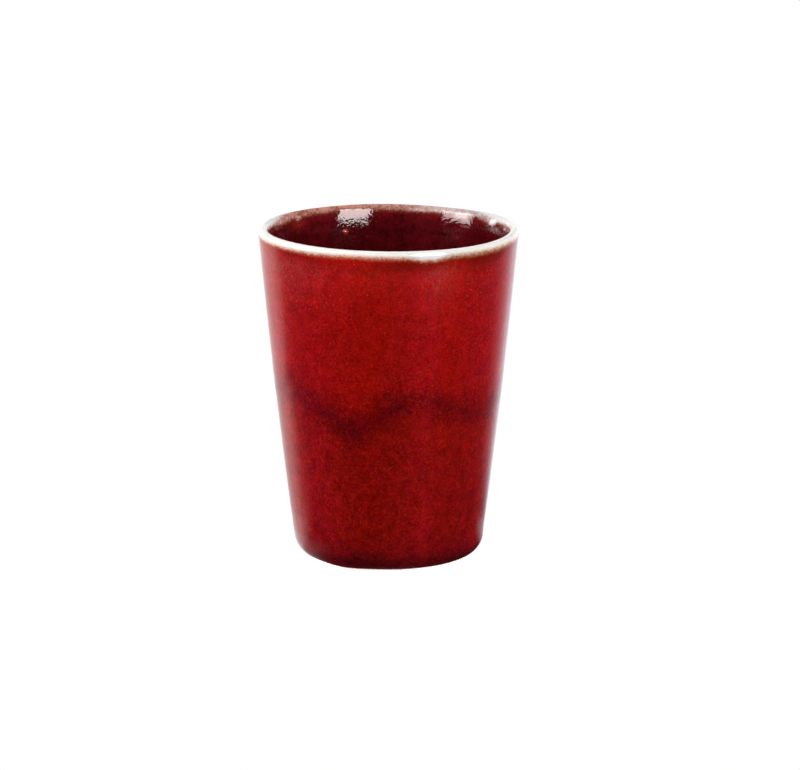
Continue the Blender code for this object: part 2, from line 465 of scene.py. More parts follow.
rows += [Row(IN_R * t, FLOOR_TOP - COAT - 0.4 * (1 - t), -60.0) for t in (0.7, 0.4, 0.1)]
liner = piece("inner_glaze_coat", rows, FLOOR_TOP - 0.35, FLOOR_TOP - COAT - 0.42)

# Porcelain: all hidden under glaze but the turned foot
rows = [Row(IN_R * t, FLOOR_TOP - UNDER - 0.45, -60.0) for t in (0.1, 0.4, 0.7)]
rows += [corner_in(a, UNDER + 0.45) for a in np.linspace(-math.pi / 2, -IN_LEAN, 8)]
rows += [wall_in(z, UNDER) for z in np.linspace(IN_TANGENT + 1.5, LIP_IN_Z, 24)[:-1]]
rows += [
    lip_arc(a, UNDER) for a in np.linspace(math.pi - LIP_IN_LEAN, -LIP_OUT_LEAN, 12)
]
rows += [wall_out(z, UNDER) for z in np.linspace(LIP_OUT_Z, OUT_TANGENT, 26)[1:]]
rows += [
    corner_out(a, UNDER) for a in np.linspace(-OUT_LEAN, math.radians(-82.0), 14)[1:]
]
FOOT_ROUND = 0.42
rows += [Row(FOOT_OUTER + 0.02, 1.3), Row(FOOT_OUTER, 1.1)]
rows += [
    Row(
        FOOT_OUTER - FOOT_ROUND + FOOT_ROUND * math.cos(a),
        FOOT_ROUND + FOOT_ROUND * math.sin(a),
    )
    for a in np.linspace(0.0, -math.pi / 2, 8)
]
rows += [Row(r, 0.0) for r in (22.9, 22.5, 22.05, 21.6, 21.2)]
rows += [
    Row(
        FOOT_INNER + FOOT_ROUND - FOOT_ROUND * math.cos(a),
        FOOT_ROUND - FOOT_ROUND * math.sin(a),
    )
    for a in np.linspace(math.pi / 2, 0.0, 8)
]
rows += [
    Row(FOOT_INNER - 0.15, 1.0),
    Row(FOOT_INNER - 0.3, 1.6),
    Row(FOOT_INNER - 0.55, 2.05),
    Row(FOOT_INNER - 1.0, RECESS_DEPTH - 0.04),
    Row(FOOT_INNER - 1.8, RECESS_DEPTH),
    Row(FOOT_INNER * 0.6, RECESS_DEPTH),
    Row(FOOT_INNER * 0.2, RECESS_DEPTH),
]
clay = piece("porcelain_foot_and_wall", rows, FLOOR_TOP - UNDER - 0.45, RECESS_DEPTH)

# Base coat: a thin pool of glaze inside the foot ring, its edge wandering
edge = FOOT_INNER - 1.9 + 0.22 * np.sin(3 * AZIMUTH + 0.5) + 0.14 * np.sin(7 * AZIMUTH)
BASE_BACK = RECESS_DEPTH - 0.02
rows = [Row(edge * t, BASE_BACK) for t in (0.2, 0.5, 0.8, 0.97)]
for turn in np.linspace(0.0, math.pi / 2, 7)[1:]:
    rows.append(
        Row(
            edge - 0.05 + 0.05 * math.sin(turn),
            BASE_BACK - COAT * 0.25 * (1 - math.cos(turn)),
        )
    )
for turn in np.linspace(0.0, 1.0, 9)[1:]:
    rows.append(Row(edge - 1.6 * turn, BASE_BACK - COAT * (0.25 + 0.65 * ease(turn))))
for t in (0.86, 0.8, 0.7, 0.6, 0.5, 0.4, 0.3, 0.2, 0.1):
    dish = 0.03 * np.sin(math.tau * t * 3.0 - AZIMUTH) * ease((0.86 - t) / 0.1) * ease((t - 0.1) / 0.4)
    rows.append(Row(edge * t, BASE_BACK - COAT * 0.9 + dish))
base_coat = piece("base_glaze_coat", rows, BASE_BACK, BASE_BACK - COAT * 0.9)


# Materials -------------------------------------------------------------------
class Graph:
    """Short ways to add shader nodes to one tree."""

    def __init__(self, tree):
        self.tree = tree

    def add(self, kind, inputs=None, **settings):
        node = self.tree.nodes.new(kind)
        for name, value in settings.items():
            setattr(node, name, value)
        for key, value in (inputs or {}).items():
            self.put(node.inputs[key], value)
        return node

    def put(self, socket, value):
        if isinstance(value, bpy.types.NodeSocket):
            self.tree.links.new(value, socket)
        else:
            socket.default_value = value

    def math(self, operation, *values, clamp=False):
        node = self.add("ShaderNodeMath", operation=operation, use_clamp=clamp)
        for socket, value in zip(node.inputs, values):
            self.put(socket, value)
        return node.outputs[0]

    def plus(self, *values):
        total = values[0]
        for value in values[1:]:
            total = self.math("ADD", total, value)
        return total

    def times(self, *values):
        total = values[0]
        for value in values[1:]:
            total = self.math("MULTIPLY", total, value)
        return total

    def stretch(self, vector, scale):
        node = self.add("ShaderNodeVectorMath", operation="MULTIPLY")
        self.put(node.inputs[0], vector)
        node.inputs[1].default_value = scale
        return node.outputs[0]

    def offset(self, vector, by):
        node = self.add("ShaderNodeVectorMath", operation="ADD")
        self.put(node.inputs[0], vector)
        node.inputs[1].default_value = by
        return node.outputs[0]

    def noise(self, vector, size, detail=2.0, rough=0.5):
        """Soft noise from 0 to 1 with features about size across."""
        node = self.add("ShaderNodeTexNoise")
        self.put(node.inputs["Vector"], vector)
        node.inputs["Scale"].default_value = 1.0 / size
        node.inputs["Detail"].default_value = detail
        node.inputs["Roughness"].default_value = rough
        return node.outputs[0]

    def swing(self, vector, size, detail=2.0, rough=0.5):
        """The same noise about nought, from about -1 to 1."""
        return self.math(
            "MULTIPLY_ADD", self.noise(vector, size, detail, rough), 2.0, -1.0
        )

    def spots(self, vector, size):
        """Distance to the nearest of scattered points, and a random number for it."""
        node = self.add("ShaderNodeTexVoronoi", feature="F1")
        self.put(node.inputs["Vector"], vector)
        node.inputs["Scale"].default_value = 1.0 / size
        pick = self.add("ShaderNodeSeparateColor")
        self.put(pick.inputs[0], node.outputs["Color"])
        return node.outputs["Distance"], pick.outputs[0]

    def remap(self, value, low, high, to_low=0.0, to_high=1.0, smooth=True):
        node = self.add(
            "ShaderNodeMapRange",
            interpolation_type="SMOOTHSTEP" if smooth else "LINEAR",
        )
        for key, v in zip(
            ("Value", "From Min", "From Max", "To Min", "To Max"),
            (value, low, high, to_low, to_high),
        ):
            self.put(node.inputs[key], v)
        return node.outputs[0]

    def hump(self, value, centre, width):
        """A round bump: 1 at centre, falling off over width to either side."""
        away = self.math("DIVIDE", self.math("SUBTRACT", value, centre), width)
        return self.math("EXPONENT", self.math("MULTIPLY", self.times(away, away), -1.0))

    def ramp(self, value, stops, low=0.0, high=1.0, ease_in=False):
        """Colour along a line: stops are (place from low to high, linear RGB)."""
        node = self.add("ShaderNodeValToRGB")
        place = self.remap(value, low, high, smooth=False)
        self.put(node.inputs[0], place)
        band = node.color_ramp
        band.interpolation = "EASE" if ease_in else "LINEAR"
        while len(band.elements) < len(stops):
            band.elements.new(0.5)
        for element, (at, colour) in zip(band.elements, sorted(stops)):
            element.position = (at - low) / (high - low)
        for element, (at, colour) in zip(band.elements, sorted(stops)):
            element.color = (*colour, 1.0)
        return node.outputs[0]

    def level(self, value, stops, low=0.0, high=1.0):
        """A number along a line: stops are (place, number)."""
        most = max(v for _, v in stops)
        colour = self.ramp(
            value, [(at, (v / most,) * 3) for at, v in stops], low, high, True
        )
        pick = self.add("ShaderNodeSeparateColor")
        self.put(pick.inputs[0], colour)
        return self.times(pick.outputs[0], most)

    def turn(self, angle, stops):
        """A number by azimuth in degrees, from -180 to 180."""
        return self.level(angle, stops, -180.0, 180.0)

    def mix(self, factor, a, b):
        node = self.add("ShaderNodeMix", data_type="RGBA", clamp_factor=True)
        for index, value in ((0, factor), (6, a), (7, b)):
            if not isinstance(value, bpy.types.NodeSocket) and index > 0:
                value = (*value, 1.0)
            self.put(node.inputs[index], value)
        return node.outputs[2]

    def colour(self, red, green, blue):
        node = self.add("ShaderNodeCombineColor")
        for socket, value in zip(node.inputs, (red, green, blue)):
            self.put(socket, value)
        return node.outputs[0]

    def field(self, name):
        return self.add("ShaderNodeAttribute", attribute_name=name).outputs["Fac"]

    def bump(self, height, distance, normal=None):
        node = self.add("ShaderNodeBump")
        node.inputs["Strength"].default_value = 1.0
        node.inputs["Distance"].default_value = distance
        self.put(node.inputs["Height"], height)
        if normal is not None:
            self.put(node.inputs["Normal"], normal)
        return node.outputs[0]


def material(name):
    made = bpy.data.materials.new(name)
    made.use_nodes = True
    shader = made.node_tree.nodes["Principled BSDF"]
    graph = Graph(made.node_tree)
    place = graph.add("ShaderNodeTexCoord").outputs["Object"]
    place = graph.stretch(place, (1000.0, 1000.0, 1000.0))
    return made, shader, graph, place


def azimuth_of(g, place):
    split = g.add("ShaderNodeSeparateXYZ")
    g.put(split.inputs[0], place)
    x, y, z = split.outputs
    angle = g.math("ARCTAN2", x, g.times(y, -1.0))
    return g.math("DEGREES", angle), x, y, z


def around(g, angle, table):
    """Sum of soft bumps about the axis, each (degrees, height, half width)."""
    total = None
    for centre, height, width in table:
        away = g.math("WRAP", g.math("SUBTRACT", angle, centre), 180.0, -180.0)
        part = g.times(g.hump(away, 0.0, width), height)
        total = part if total is None else g.plus(total, part)
    return total


LIP_WHITE = (0.585, 0.573, 0.545)

# Where the glaze ran thick or thin, each (azimuth, amount, half width in degrees)
PALER_RUNS = (
    (-64.0, 0.12, 11.0),
    (-36.0, 0.06, 8.0),
    (-13.0, -0.05, 8.0),
    (0.0, 0.03, 8.0),
    (18.0, 0.17, 8.0),
    (44.0, -0.09, 13.0),
    (68.0, 0.12, 12.0),
    (134.0, 0.13, 14.0),
    (-158.0, -0.06, 16.0),
    (-112.0, 0.14, 18.0),
)
DEEPER_LAP = (
    (-66.0, -0.055, 12.0),
    (-34.0, 0.06, 9.0),
    (-18.0, 0.15, 9.0),
    (3.0, 0.10, 6.0),
    (15.0, -0.14, 5.0),
    (29.0, 0.13, 8.0),
    (46.0, 0.07, 9.0),
    (58.0, -0.05, 10.0),
    (-118.0, 0.09, 14.0),
    (-150.0, -0.07, 14.0),
    (112.0, -0.065, 12.0),
    (148.0, 0.125, 14.0),
)
# Single spots where the melt lies thicker (or thinner): azimuth, height, half
# width in degrees, half height in mm, depth
THICK_SPOTS = (
    (-27.0, 52.5, 6.5, 3.8, 0.24),
    (-6.0, 52.8, 4.0, 3.0, 0.25),
    (1.5, 46.5, 5.0, 3.5, 0.16),
    (-25.0, 43.0, 5.0, 2.6, 0.17),
    (-18.0, 60.0, 9.0, 5.0, -0.12),
    (-43.0, 45.5, 8.0, 5.0, 0.16),
    (-57.0, 59.0, 14.0, 6.0, 0.11),
    (26.0, 43.5, 7.0, 2.8, -0.15),
    (48.0, 38.0, 5.0, 4.0, -0.12),
    (67.0, 38.0, 6.0, 6.0, -0.18),
    (-42.0, 81.0, 6.0, 5.0, 0.10),
    (-12.0, 82.0, 5.0, 4.5, 0.10),
    (31.0, 8.8, 9.0, 1.8, 0.12),
    (33.0, 5.0, 7.0, 1.5, -0.15),
    (55.0, 5.6, 4.0, 2.2, 0.15),
    (57.0, 18.0, 4.5, 5.0, 0.13),
    (-48.0, 6.0, 6.0, 2.5, -0.13),
    (-37.0, 93.5, 9.0, 4.0, 0.15),
    (42.0, 93.5, 5.0, 2.5, 0.10),
    (-18.0, 6.5, 6.0, 3.5, 0.20),
    (118.0, 62.0, 12.0, 7.0, 0.12),
    (158.0, 52.0, 9.0, 4.0, 0.18),
    (-140.0, 56.0, 10.0, 4.0, 0.16),
)
CRIMSON_RUNS = (
    (-44.0, 0.0052, 12.0),
    (-75.0, 0.0080, 22.0),
    (-8.0, -0.0060, 16.0),
    (18.0, 0.0040, 7.0),
    (31.0, -0.0052, 6.0),
    (56.0, 0.0094, 12.0),
    (74.0, 0.0060, 14.0),
    (130.0, 0.0085, 14.0),
    (-150.0, 0.0110, 16.0),
)
# Where the painted sheen under the lip is stronger, each (azimuth, amount, half width in degrees)
SHEEN_RUNS = (
    (-56.0, 1.10, 16.0),
    (-34.0, 0.40, 9.0),
    (-82.0, 1.10, 22.0),
    (22.5, 1.35, 8.0),
    (78.0, 0.55, 22.0),
    (140.0, 0.76, 16.0),
    (-160.0, 0.52, 14.0),
)
BROWN_RING = (
    (-4.0, 0.10, 7.0),
    (7.0, 0.38, 9.0),
    (19.0, 0.28, 7.0),
    (41.0, 0.34, 7.0),
    (54.0, 0.44, 10.0),
    (-70.0, -0.14, 20.0),
    (-120.0, 0.24, 16.0),
    (130.0, 0.25, 16.0),
    (180.0, 0.20, 14.0),
)
BRICK_LIP = ((-19.0, 0.90, 14.0), (-3.0, 0.25, 7.0), (-150.0, 0.60, 18.0), (100.0, 0.55, 16.0))
OLIVE_LIP = ((33.0, 0.85, 9.0), (56.0, 1.00, 18.0), (-120.0, 0.75, 18.0), (132.0, 0.75, 18.0))


SPECKS = ((0.36, 0.20), (0.72, 0.29))
CLOUDS = ((0.9, 0.10), (1.6, 0.17), (3.4, 0.21))


def melt_grain(g, place, seed, sizes=SPECKS + CLOUDS):
    """Sandy grain of a melted glaze, from fine specks to small clouds."""
    total = None
    for step, (size, share) in enumerate(sizes):
        shifted = g.offset(place, (seed + 7.3 * step, 3.1 * step, seed * 0.7))
        part = g.times(g.swing(shifted, size, 0.0), share)
        total = part if total is None else g.plus(total, part)
    return total


def outside_glaze(name, pooled=False):
    """Copper-red glaze on white clay: breaks to white over the lip, goes dark
    where the two dips lap, and darker towards the foot, partly where it
    thickens and partly as painted shade.  The back is painted darker as
    shade, a painted sheen lies under the lip, and some pale specks are
    painted glints.  Pooled in the foot it is one even colour all round."""
    made, shader, g, place = material(name)
    angle, x, y, z = azimuth_of(g, place)
    if pooled:
        angle = 100.0
    lip = g.field("lip")
    lap = g.field("lap")
    drip = g.field("drip")

    # broad clouding, runs down the wall
    cloud = g.swing(place, 22.0, 2.0, 0.55)
    runs = g.swing(g.stretch(place, (1.0, 1.0, 0.09)), 4.2, 2.0, 0.5)

    # thin under the lip, deeper below the lap, more so in front than at the sides
    to_side = g.remap(g.math("ABSOLUTE", angle), 26.0, 54.0)
    rise = g.level(z, ((62.0, 0.0), (74.0, 0.03), (85.0, 0.13), (92.0, 0.26)), 50.0, 100.0)
    thinner = g.plus(1.0, g.times(to_side, -0.95), g.times(g.hump(angle, -19.0, 9.0), 0.45))
    body = g.math("MULTIPLY_ADD", rise, thinner, 1.0)
    around_wall = g.plus(0.96, around(g, angle, PALER_RUNS))
    waves = g.times(g.swing(g.offset(place, (0.0, 40.0, 11.0)), 8.0, 3.0, 0.6), 3.2)
    wavy = g.plus(lap, waves)
    wavy_z = g.plus(z, g.times(waves, 0.5))
    above = g.remap(wavy, -2.5, 10.0)
    low_half = g.math("SUBTRACT", 1.0, above)
    deepen = g.plus(
        -0.225, g.remap(angle, -28.0, -56.0, 0.0, 0.10), g.remap(angle, 62.0, 80.0, 0.0, 0.10)
    )
    over = g.math("DIVIDE", g.math("MAXIMUM", wavy, 0.0), 4.8)
    under = g.math("DIVIDE", g.math("MINIMUM", wavy, 0.0), 3.6)
    away = g.plus(over, under)
    line = g.math("EXPONENT", g.times(away, away, -1.0))
    band = g.times(line, g.plus(0.30, around(g, angle, DEEPER_LAP)))
    # sandy grain, in patches: more and brighter specks than dark ones
    patchy = g.math("MULTIPLY_ADD", g.noise(g.offset(place, (3.0, 8.0, 60.0)), 7.0, 1.0, 0.5), 1.3, 0.35)
    fine = g.times(
        melt_grain(g, place, 11.0, SPECKS),
        patchy,
        g.plus(1.0, g.times(low_half, 0.20), g.times(line, 0.35)),
    )
    clouds = g.times(
        melt_grain(g, place, 29.0, CLOUDS), g.plus(1.0, g.times(low_half, 0.40), g.times(line, 0.25))
    )
    spark = g.math("MAXIMUM", g.math("SUBTRACT", fine, 0.02), 0.0)
    sandy = g.plus(0.97, g.times(fine, 0.85), g.times(clouds, 0.90), g.times(spark, 0.80))
    sandy = g.math("MAXIMUM", sandy, 0.35)
    aside = g.plus(
        g.times(g.remap(angle, 18.0, 32.0, 0.0, -0.10), g.remap(z, 28.0, 19.0)),
        g.times(g.hump(angle, -48.0, 15.0), g.remap(z, 26.0, 15.0), -0.14),
    )
    # the back painted darker: painted shade that evens out the stronger studio light it gets from behind
    back_painted_shade = g.remap(g.math("ABSOLUTE", angle), 84.0, 114.0, 1.0, 0.70)
    smooth = g.times(
        body,
        0.310,
        back_painted_shade,
        g.plus(around_wall, aside),
        g.math("MULTIPLY_ADD", low_half, deepen, 1.0),
        g.math("MULTIPLY_ADD", cloud, 0.10, 1.0),
        g.math("MULTIPLY_ADD", runs, 0.08, 1.0),
    )
    for at, height, wide, tall, depth in THICK_SPOTS:
        spot = g.times(g.hump(angle, at, wide), g.hump(wavy_z, height, tall))
        band = g.plus(band, g.times(spot, depth))
    red = g.times(smooth, g.math("SUBTRACT", 1.0, band), sandy)

    # darker towards the foot: partly glaze pooled where it stopped, partly painted shade in the foot's corner
    foot = g.level(
        z,
        ((0.0, 0.22), (3.0, 0.27), (4.5, 0.43), (6.0, 0.58), (8.0, 0.75), (10.0, 0.88), (13.0, 0.97), (17.0, 1.0)),
        0.0,
        20.0,
    )
    foot = g.plus(foot, g.times(g.math("SUBTRACT", 1.0, foot), g.plus(g.remap(angle, -26.0, -58.0, 0.0, 0.22), g.remap(angle, 44.0, 66.0, 0.0, 0.30))))
    red = g.times(red, foot)
    smooth = g.times(smooth, g.math("SQRT", foot))

    # orange-red and purple grains, and a cooler crimson to the sides and in the
    # dark lap
    hot = melt_grain(g, place, 47.0)
    cool = melt_grain(g, place, 83.0)
    tiny = g.swing(g.offset(place, (11.0, 0.0, 7.7)), 0.36, 0.0)
    tint = g.swing(g.offset(place, (2.0, 51.0, 9.4)), 0.42, 0.0)
    crimson = g.plus(
        0.0142,
        g.times(around(g, angle, CRIMSON_RUNS), g.math("MULTIPLY_ADD", low_half, -0.35, 1.0)),
        g.times(low_half, 0.0011),
        g.times(line, 0.0040),
        g.times(low_half, g.hump(angle, -43.0, 11.0), 0.0090),
        g.times(g.math("SUBTRACT", 1.0, foot), 0.028),
    )
    warmth = g.plus(1.0, g.times(tiny, 1.05), g.times(hot, 1.2))
    green = g.times(
        red, g.math("MULTIPLY_ADD", low_half, 0.0028, 0.0145), g.math("MAXIMUM", warmth, 0.2)
    )
    green = g.plus(green, g.times(spark, 0.006))
    even = g.plus(g.times(low_half, 0.30), g.times(line, 0.50))
    blue = g.plus(
        g.times(red, g.math("SUBTRACT", 1.0, even)), g.times(smooth, even)
    )
    coolth = g.plus(1.0, g.times(tiny, 0.55), g.times(tint, 1.35), g.times(cool, 1.8))
    blue = g.times(blue, crimson, g.math("MAXIMUM", coolth, 0.2))
    blue = g.plus(blue, g.times(spark, g.math("MULTIPLY_ADD", low_half, -0.010, 0.012)))

    # painted sheen under the lip: the softboxes' scattered reflection, painted into the colour as a sandy milky veil
    painted_sheen = g.times(
        g.level(
            z,
            ((72.0, 0.0), (78.0, 0.07), (84.0, 0.24), (89.0, 0.62), (93.0, 1.0), (94.5, 0.9), (96.0, 0.3), (97.2, 0.0)),
            70.0,
            100.0,
        ),
        g.plus(0.30, around(g, angle, SHEEN_RUNS)),
        g.math("MULTIPLY_ADD", melt_grain(g, place, 131.0), 3.4, 1.0),
    )
    painted_sheen = g.math("MAXIMUM", painted_sheen, 0.0)
    red = g.plus(red, g.times(painted_sheen, 0.0080))
    green = g.plus(green, g.times(painted_sheen, 0.0105))
    blue = g.plus(blue, g.times(painted_sheen, 0.0088))
    glaze = g.colour(red, green, blue)

    # pin-point pale specks, most of them near the lip: partly small bubbles in the glaze, partly painted glints
    reach, pick = g.spots(g.offset(place, (1.0, 17.0, 4.0)), 1.0)
    bubble_glint = g.times(
        g.remap(reach, 0.26, 0.08),
        g.remap(pick, 0.70, 1.0),
        g.level(z, ((0.0, 0.05), (50.0, 0.06), (75.0, 0.15), (90.0, 0.32)), 0.0, 100.0),
    )
    glaze = g.mix(bubble_glint, glaze, (0.52, 0.19, 0.18))

    # a darker, browner ring just under the lip
    ring = g.times(
        g.level(z, ((91.0, 0.0), (93.0, 0.24), (95.0, 1.0), (97.0, 1.0)), 80.0, 100.0),
        g.plus(0.11, around(g, angle, BROWN_RING)),
    )
    glaze = g.mix(g.times(ring, 1.15), glaze, (0.100, 0.0050, 0.0014))

    # the glaze runs off the lip: white, then tan, brown and deep red
    wander = g.plus(
        g.times(g.swing(place, 6.0, 1.0, 0.5), 0.22),
        g.times(g.swing(g.offset(place, (40.0, 0.0, 0.0)), 1.7, 1.0, 0.5), 0.30),
        g.times(g.swing(g.offset(place, (0.0, 0.0, 90.0)), 0.65, 2.0, 0.7), 0.75),
    )
    below = g.math("SUBTRACT", g.math("SUBTRACT", lip, 2.58), drip)
    below = g.plus(below, wander)
    brown = g.ramp(
        below,
        (
            (-1.45, LIP_WHITE),
            (-1.05, (0.70, 0.68, 0.635)),
            (-0.74, (0.72, 0.63, 0.585)),
            (-0.43, (0.74, 0.565, 0.505)),
            (-0.12, (0.70, 0.445, 0.350)),
            (0.19, (0.49, 0.195, 0.130)),
            (0.50, (0.31, 0.058, 0.032)),
            (0.80, (0.265, 0.026, 0.0115)),
            (1.10, (0.235, 0.0105, 0.0035)),
            (1.40, (0.21, 0.0045, 0.0012)),
        ),
        -2.0,
        2.0,
    )
    brick = g.ramp(
        below,
        (
            (-1.45, LIP_WHITE),
            (-1.05, (0.70, 0.68, 0.635)),
            (-0.74, (0.73, 0.63, 0.575)),
            (-0.43, (0.75, 0.56, 0.475)),
            (-0.12, (0.72, 0.435, 0.330)),
            (0.19, (0.63, 0.235, 0.160)),
            (0.50, (0.54, 0.100, 0.060)),
            (0.80, (0.49, 0.046, 0.0240)),
            (1.10, (0.46, 0.0200, 0.0095)),
            (1.40, (0.40, 0.0085, 0.0040)),
        ),
        -2.0,
        2.0,
    )
    olive = g.ramp(
        below,
        (
            (-1.75, LIP_WHITE),
            (-1.35, (0.65, 0.63, 0.59)),
            (-0.95, (0.67, 0.595, 0.54)),
            (-0.55, (0.64, 0.525, 0.445)),
            (-0.15, (0.54, 0.385, 0.295)),
            (0.20, (0.46, 0.255, 0.180)),
            (0.55, (0.34, 0.125, 0.072)),
            (0.90, (0.255, 0.066, 0.024)),
            (1.25, (0.200, 0.0280, 0.0070)),
            (1.60, (0.165, 0.0090, 0.0022)),
        ),
        -2.0,
        2.0,
    )
    redder = g.plus(0.12, around(g, angle, BRICK_LIP))
    greyer = around(g, angle, OLIVE_LIP)
    lipped = g.mix(greyer, g.mix(redder, brown, brick), olive)
    dots = g.remap(g.noise(g.offset(place, (13.0, 4.0, 21.0)), 0.55, 1.0, 0.6), 0.50, 0.66)
    dots = g.times(dots, g.hump(below, 0.25, 0.75), g.plus(0.25, g.math("MINIMUM", greyer, 0.75)))
    lipped = g.mix(g.times(dots, 0.8), lipped, (0.13, 0.026, 0.0085))
    # the lowest hang of the white drip painted lighter still: painted light against the shade on the downward-facing
    # drip
    drip_painted_light = g.times(g.remap(drip, 0.30, 0.90), g.remap(lip, 0.9, 1.5), g.remap(below, -0.2, -0.8))
    lipped = g.mix(g.times(drip_painted_light, 0.90), lipped, (0.89, 0.868, 0.845))
    glaze = g.mix(g.remap(below, 0.75, g.plus(1.5, g.times(g.math("MAXIMUM", greyer, redder), 0.45))), lipped, glaze)

    g.put(shader.inputs["Base Color"], glaze)
    shader.inputs["IOR"].default_value = 1.5
    dull = g.math("MULTIPLY_ADD", g.noise(place, 5.0, 3.0, 0.6), 0.05, 0.045)
    g.put(shader.inputs["Roughness"], dull)
    peel = g.plus(
        g.times(g.noise(place, 0.40, 0.0), 0.30),
        g.noise(place, 1.9, 1.0, 0.4),
        g.times(g.noise(place, 6.0, 1.0, 0.4), 2.0),
    )
    g.put(shader.inputs["Normal"], g.bump(peel, 0.000016))
    return made


# How far the white of the lip runs down inside, mm past the crest
WHITE_INSIDE = ((-99.0, 2.9, 22.0), (112.0, 3.0, 24.0), (66.0, 1.4, 26.0), (-50.0, 0.9, 20.0))
# How much further the thin, tan glaze runs down inside, mm
THIN_INSIDE = (
    (-116.0, 0.85, 10.0),
    (-134.0, 0.25, 9.0),
    (-163.0, -0.25, 10.0),
    (178.0, 0.20, 20.0),
    (161.0, 0.05, 10.0),
    (121.0, 1.15, 9.0),
)
# Paler, greyer thin glaze inside the lip
GREY_INSIDE = ((139.0, 1.05, 26.0), (-102.0, 0.55, 12.0), (30.0, 0.5, 30.0))


def inside_glaze(name):
    """Deep maroon liner, tan where it thins over the lip, drier further down."""
    made, shader, g, place = material(name)
    angle, x, y, z = azimuth_of(g, place)
    lip = g.field("lip")
    cloud = g.swing(place, 20.0, 2.0, 0.55)
    runs = g.swing(g.stretch(place, (1.0, 1.0, 0.10)), 3.4, 2.0, 0.5)
    grain = melt_grain(g, place, 19.0)
    red = g.level(
        z,
        ((5.5, 0.055), (8.0, 0.065), (20.0, 0.085), (60.0, 0.060), (76.0, 0.045), (84.0, 0.039), (91.0, 0.040), (95.0, 0.050), (97.5, 0.070)),
        0.0,
        100.0,
    )
    red = g.times(
        red,
        g.plus(1.0, around(g, angle, ((148.0, 0.30, 18.0), (-138.0, 0.20, 12.0)))),
        g.math("MULTIPLY_ADD", cloud, 0.35, 1.0),
        g.math("MULTIPLY_ADD", runs, 0.25, 1.0),
        g.math("MAXIMUM", g.math("MULTIPLY_ADD", grain, 1.5, 1.0), 0.3),
    )
    reach, pick = g.spots(place, 2.6)
    fleck = g.times(g.remap(reach, 0.30, 0.10), g.remap(pick, 0.90, 0.96))
    red = g.times(red, g.math("MULTIPLY_ADD", fleck, 0.8, 1.0))
    glaze = g.colour(red, g.times(red, 0.032), g.times(red, 0.056))

    across = g.times(
        g.math("WRAP", g.math("SUBTRACT", angle, BEAD_AZIMUTH), 180.0, -180.0),
        math.radians(1.0) * float(inner_radius(BEAD_HEIGHT)),
    )
    up = g.math("SUBTRACT", z, BEAD_HEIGHT)
    away = g.math("SQRT", g.plus(g.times(across, across), g.times(up, up)))
    on_bead = g.remap(away, 1.15, 0.85)
    glaze = g.mix(g.remap(away, 1.12, 0.75, 0.0, 0.9), glaze, (0.23, 0.012, 0.009))
    glaze = g.mix(g.remap(away, 0.55, 0.25, 0.0, 0.6), glaze, (0.12, 0.006, 0.006))

    # over the lip: white to tan, mottled, then all at once the full colour
    wander = g.plus(
        g.times(g.swing(place, 5.0, 2.0, 0.5), 0.5),
        g.times(g.swing(g.offset(place, (0.0, 0.0, 90.0)), 0.6, 2.0, 0.7), 0.9),
    )
    below = g.plus(g.times(lip, -1.0), wander)
    white_to = g.plus(-0.75, around(g, angle, WHITE_INSIDE))
    mottle = g.remap(g.plus(grain, g.times(cloud, 0.25)), -0.22, 0.26)
    tan = g.mix(mottle, (0.20, 0.060, 0.038), (0.40, 0.185, 0.140))
    grey = g.mix(mottle, (0.29, 0.195, 0.180), (0.46, 0.37, 0.36))
    rose = g.mix(mottle, (0.31, 0.130, 0.105), (0.56, 0.330, 0.290))
    tan = g.mix(g.times(g.hump(angle, -118.0, 10.0), 0.8), tan, rose)
    tan = g.mix(around(g, angle, GREY_INSIDE), tan, grey)
    crest = g.mix(around(g, angle, GREY_INSIDE), LIP_WHITE, (0.50, 0.475, 0.47))
    thin = g.mix(g.remap(g.math("SUBTRACT", below, white_to), -0.9, 0.9), crest, tan)
    sunk = g.math("SUBTRACT", below, around(g, angle, THIN_INSIDE))
    rust = g.mix(g.remap(sunk, 1.5, 2.7), thin, (0.125, 0.018, 0.0085))
    glaze = g.mix(g.remap(sunk, 2.4, 3.3), rust, glaze)
    smear = g.times(
        g.hump(angle, -128.0, 4.8),
        g.hump(g.plus(z, g.times(wander, 1.0)), 96.2, 1.6),
        g.remap(g.plus(grain, g.times(runs, 0.25)), -0.25, 0.30, 0.35, 1.0),
    )
    glaze = g.mix(smear, glaze, (0.20, 0.014, 0.0070))

    g.put(shader.inputs["Base Color"], glaze)
    shader.inputs["IOR"].default_value = 1.5
    shine = g.level(z, ((0.0, 0.06), (86.0, 0.05), (88.5, 0.07), (90.0, 0.18), (91.5, 0.50)), 0.0, 100.0)
    # dry patches, where only scattered grains still shine
    drier = g.plus(
        g.times(around(g, angle, ((-128.0, 1.2, 17.0), (180.0, 1.3, 9.0))), g.remap(z, 97.6, 95.6)),
        g.times(g.hump(angle, 121.0, 19.0), g.remap(z, 95.4, 94.2), 1.7),
    )
    grains = g.remap(g.noise(g.offset(place, (2.0, 31.0, 7.0)), 0.7, 0.0), 0.66, 0.74)
    drier = g.times(g.math("MINIMUM", drier, 1.0), g.math("MULTIPLY_ADD", grains, -0.2, 1.0))
    shine = g.times(shine, g.math("SUBTRACT", 1.0, drier, clamp=True))
    shine = g.math("MAXIMUM", shine, g.times(on_bead, 0.5))
    g.put(shader.inputs["Specular IOR Level"], shine)
    shader.inputs["Specular Tint"].default_value = (1.0, 0.88, 0.865, 1.0)
    dull = g.math("MULTIPLY_ADD", g.noise(place, 4.0, 3.0, 0.6), 0.05, 0.03)
    dull = g.plus(dull, g.remap(z, 90.0, 70.0, 0.0, 0.16))
    g.put(shader.inputs["Roughness"], dull)
